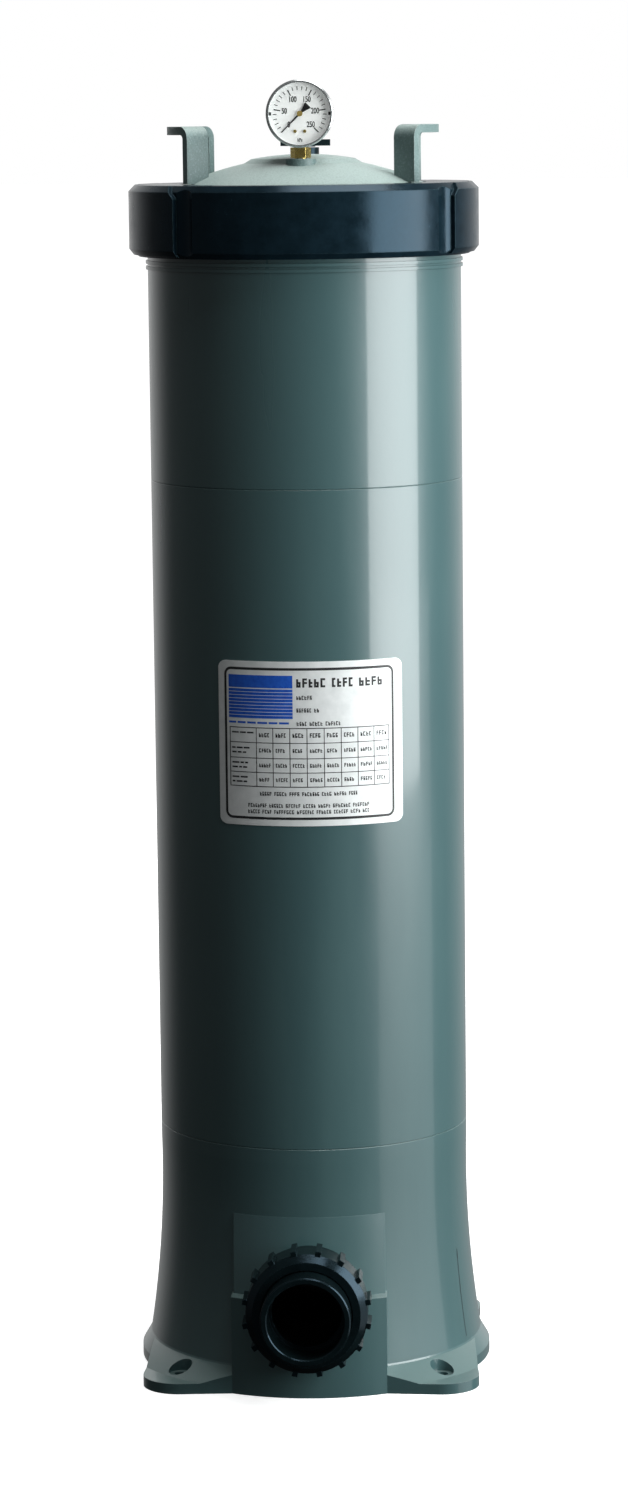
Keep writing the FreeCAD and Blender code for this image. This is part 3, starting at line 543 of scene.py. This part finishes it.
def base_mould_marks():
    """The fine parting line down the flare of the base, on both halves of the mould."""
    front_turn = 67
    half_width = 0.4 * MM
    proud = 0.1 * MM
    lowest = 25 * MM
    spacing = 9 * MM
    line_spots = 9
    outside = 300 * MM
    base = nodes["base_moulding"]
    to_base = base.matrix_world.inverted()
    for number, turn in enumerate((front_turn, front_turn + 180)):
        heading = math.radians(turn)
        outward = Vector((math.sin(heading), -math.cos(heading), 0))
        across = Vector((math.cos(heading), math.sin(heading), 0)) * half_width
        line = []
        for step in range(line_spots):
            start = outward * outside + Vector((0, 0, lowest + spacing * step))
            hit, spot, *_ = base.ray_cast(to_base @ start, to_base.to_3x3() @ -outward)
            if hit:
                line.append(base.matrix_world @ spot + outward * proud)
        patches = Patches()
        for low, high in zip(line, line[1:]):
            patches.quad([low - across, low + across, high + across, high - across])
        patches.add(f"base_parting_line_{number}", INK_BLACK, "housing", "tank_plastic")


# --- gauge dial -----------------------------------------------------------------------------------
# Angles on the dial are degrees, counted anticlockwise from three o'clock.

FACE_Y = DIAL_FRONT - 0.1 * MM
TOP_VALUE = 250
VALUE_STEP = 10
NUMBER_STEP = 50
SWEEP = 270
START_ANGLE = 225


def on_dial(angle, radius):
    heading = math.radians(angle)
    return (radius * math.cos(heading), FACE_Y, GAUGE_Z + radius * math.sin(heading))


def dial_angle(value):
    return START_ANGLE - SWEEP * value / TOP_VALUE


def tick(patches, angle, inner, outer, width):
    """One line of the scale, from its inner to its outer radius."""
    heading = math.radians(angle)
    across = Vector((-math.sin(heading), 0, math.cos(heading))) * (width / 2)
    near = Vector(on_dial(angle, inner))
    far = Vector(on_dial(angle, outer))
    patches.quad([near - across, near + across, far + across, far - across])


def dial_scale():
    """A line for each step of the scale, longer and thicker where there is a number."""
    scale = Patches()
    for value in range(0, TOP_VALUE + 1, VALUE_STEP):
        if value % NUMBER_STEP == 0:
            tick(scale, dial_angle(value), inner=15.4 * MM, outer=20.6 * MM, width=0.9 * MM)
        else:
            tick(scale, dial_angle(value), inner=18.2 * MM, outer=21.2 * MM, width=0.6 * MM)
    scale.add("dial_scale", INK_BLACK, "lid", "needle_black")


def dial_text(name, words, height, x, z):
    """Narrow figures on the dial, centred at x and z."""
    curve = bpy.data.curves.new(name, "FONT")
    curve.body = words
    curve.size = height
    curve.align_x = "CENTER"
    curve.align_y = "CENTER"
    curve.offset = height * 0.02
    curve.extrude = 0.02 * MM
    curve.materials.append(INK_BLACK)
    piece = bpy.data.objects.new(name, curve)
    bpy.context.collection.objects.link(piece)
    piece.location = (x, FACE_Y - 0.03 * MM, z)
    piece.rotation_euler = (math.pi / 2, 0, 0)
    piece.scale.x = 0.7
    bpy.context.view_layer.update()
    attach(piece, "lid")


def dial_figures():
    """The numbers inside the scale, and the unit at the foot."""
    for value in range(0, TOP_VALUE + 1, NUMBER_STEP):
        x, _, z = on_dial(dial_angle(value), 12.2 * MM)
        dial_text(f"dial_number_{value}", str(value), 6.2 * MM, x, z)
    dial_text("dial_unit", "kPa", 4 * MM, 0, GAUGE_Z - 20.5 * MM)


def dial_tabs():
    """The black tab at each side of the dial, in two halves."""
    half_angle = 3.2
    inner = 22.4 * MM
    outer = 24.3 * MM
    tabs = Patches()
    for middle in (180, 0):
        for end in (middle - half_angle, middle + half_angle):
            tabs.quad([on_dial(middle, inner), on_dial(end, inner),
                       on_dial(end, outer), on_dial(middle, outer)])
    tabs.add("dial_side_tabs", INK_BLACK, "lid", "needle_black")


# --- pleats of the cartridge ----------------------------------------------------------------------

def pleated_sleeve():
    """A star of folded fabric in place of the plain CAD sleeve."""
    folds = 84
    levels = 8
    outer = pleat_high.x - 0.6 * MM
    inner = CORE_RADIUS + 4 * MM
    ring = []
    for number in range(folds):
        for part, radius in ((0.0, outer), (0.16, outer), (0.5, inner), (0.66, inner)):
            angle = 2 * math.pi * (number + part) / folds
            ring.append((radius * math.cos(angle), radius * math.sin(angle)))
    count = len(ring)
    vertices = []
    for level in range(levels + 1):
        z = pleat_low.z + (pleat_high.z - pleat_low.z) * level / levels
        vertices += [(x, y, z) for x, y in ring]
    faces = []
    for level in range(levels):
        low = level * count
        for number in range(count):
            following = (number + 1) % count
            faces.append((low + number, low + following, low + count + following, low + count + number))
    sleeve = add_mesh("pleated_sleeve", vertices, faces, PLEATS, "cartridge")
    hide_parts("cartridge_pleats")


# --- stage, light, camera -------------------------------------------------------------------------

def floor():
    """Pale ground that brightens to plain white away from the object, so that no horizon shows."""
    reach = 60.0
    corners = [(-reach, -reach, 0), (reach, -reach, 0), (reach, reach, 0), (-reach, reach, 0)]
    mesh = bpy.data.meshes.new("floor")
    mesh.from_pydata(corners, [], [(0, 1, 2, 3)])
    look = Shader("pale_floor", Roughness=0.9, Specular_IOR_Level=0.1)
    look.colour(look.clouds(look.noise(3.0), srgb(228, 229, 229), srgb(233, 234, 234)))
    away = look.node("ShaderNodeVectorMath", operation="LENGTH")
    look.link(look.place, away.inputs[0])
    glow = look.spread(away.outputs["Value"], 0.3, 1.3, to_low=0.7)
    look.link(glow, look.surface.inputs["Emission Strength"])
    look.surface.inputs["Emission Color"].default_value = srgb(255, 255, 255)
    mesh.materials.append(look.material)
    ground = bpy.data.objects.new("floor", mesh)
    ground.visible_diffuse = False
    ground.visible_glossy = False
    ground.visible_shadow = False
    bpy.context.collection.objects.link(ground)


def studio_world():
    """Plain white to the camera. As light it is dim on the camera's side and from below."""
    world = bpy.data.worlds.new("studio")
    bpy.context.scene.world = world
    world.use_nodes = True
    tree = world.node_tree
    background = tree.nodes["Background"]
    background.inputs["Color"].default_value = (1.0, 1.0, 1.0, 1.0)
    direction = tree.nodes.new("ShaderNodeTexCoord")
    parts = tree.nodes.new("ShaderNodeSeparateXYZ")
    tree.links.new(direction.outputs["Generated"], parts.inputs["Vector"])
    around = tree.nodes.new("ShaderNodeMath")
    around.operation = "MULTIPLY"
    ramps = (("Y", 0.4, 1.0, 0.11, 0.75), ("Z", -0.45, 0.05, 0.15, 1.0))
    for number, (axis, low, high, dim, bright) in enumerate(ramps):
        ramp = tree.nodes.new("ShaderNodeMapRange")
        ramp.interpolation_type = "SMOOTHSTEP"
        set_range(ramp, low, high, dim, bright)
        tree.links.new(parts.outputs[axis], ramp.inputs["Value"])
        tree.links.new(ramp.outputs["Result"], around.inputs[number])
    path = tree.nodes.new("ShaderNodeLightPath")
    seen = tree.nodes.new("ShaderNodeMix")
    tree.links.new(path.outputs["Is Camera Ray"], seen.inputs["Factor"])
    tree.links.new(around.outputs["Value"], seen.inputs["A"])
    seen.inputs["B"].default_value = 1.0
    tree.links.new(seen.outputs["Result"], background.inputs["Strength"])


def area_light(name, place, target, width, height, power, colour=(1, 1, 1)):
    """A rectangular lamp aimed at the target."""
    light = bpy.data.lights.new(name, "AREA")
    light.shape = "RECTANGLE"
    light.size = width
    light.size_y = height
    light.energy = power
    light.color = colour
    lamp = bpy.data.objects.new(name, light)
    bpy.context.collection.objects.link(lamp)
    lamp.location = place
    lamp.rotation_euler = (Vector(target) - Vector(place)).to_track_quat("-Z", "Y").to_euler()
    return lamp


def studio_lamps():
    """A tall soft box on the right, and lamps low on the right, behind and above.

    The low lamp shines through the floor, which casts no shadow.
    """
    heading = math.radians(68)
    distance = 1.7
    cool = (0.98, 1.0, 1.0)
    key_place = (distance * math.sin(heading), -distance * math.cos(heading), 0.97)
    area_light("key", key_place, (0, 0, 0.85), width=1.35, height=1.5, power=56, colour=cool)
    area_light("low", (1.65, -0.4, -0.2), (0, 0, 0.1), width=1.6, height=1.3, power=7, colour=cool)
    back = area_light("back", (-1.0, 2.4, 1.5), (0, 0, 0.6), width=2.0, height=2.0, power=45)
    back.visible_glossy = False
    area_light("top", (0.5, -0.2, 2.7), (0, 0, 0.9), width=1.4, height=1.4, power=40)


def camera():
    """The camera stands level with the gauge, a little to the right of the union's axis."""
    turn = math.radians(2.5)
    aside = math.radians(0.055)
    pitch = math.radians(-8.265)
    roll = math.radians(0.64)
    distance = 3.53
    height = 1.012
    place = Vector((distance * math.sin(turn), -distance * math.cos(turn), height))
    heading = turn - aside
    level = math.cos(pitch)
    forward = Vector((-math.sin(heading) * level, math.cos(heading) * level, math.sin(pitch)))
    right = forward.cross(Vector((0, 0, 1))).normalized()
    up = right.cross(forward)
    rolled_right = right * math.cos(roll) - up * math.sin(roll)
    rolled_up = up * math.cos(roll) + right * math.sin(roll)
    lens = bpy.data.cameras.new("camera")
    lens.sensor_width = 36
    lens.lens = 105.6
    eye = bpy.data.objects.new("camera", lens)
    bpy.context.collection.objects.link(eye)
    facing = Matrix((rolled_right, rolled_up, -forward)).transposed().to_4x4()
    eye.matrix_world = Matrix.Translation(place) @ facing
    bpy.context.scene.camera = eye


camera()
studio_world()
studio_lamps()
floor()
dress_nodes()
data_plate_print()
base_mould_marks()
dial_scale()
dial_figures()
dial_tabs()
pleated_sleeve()
bpy.context.scene.view_settings.view_transform = "Standard"
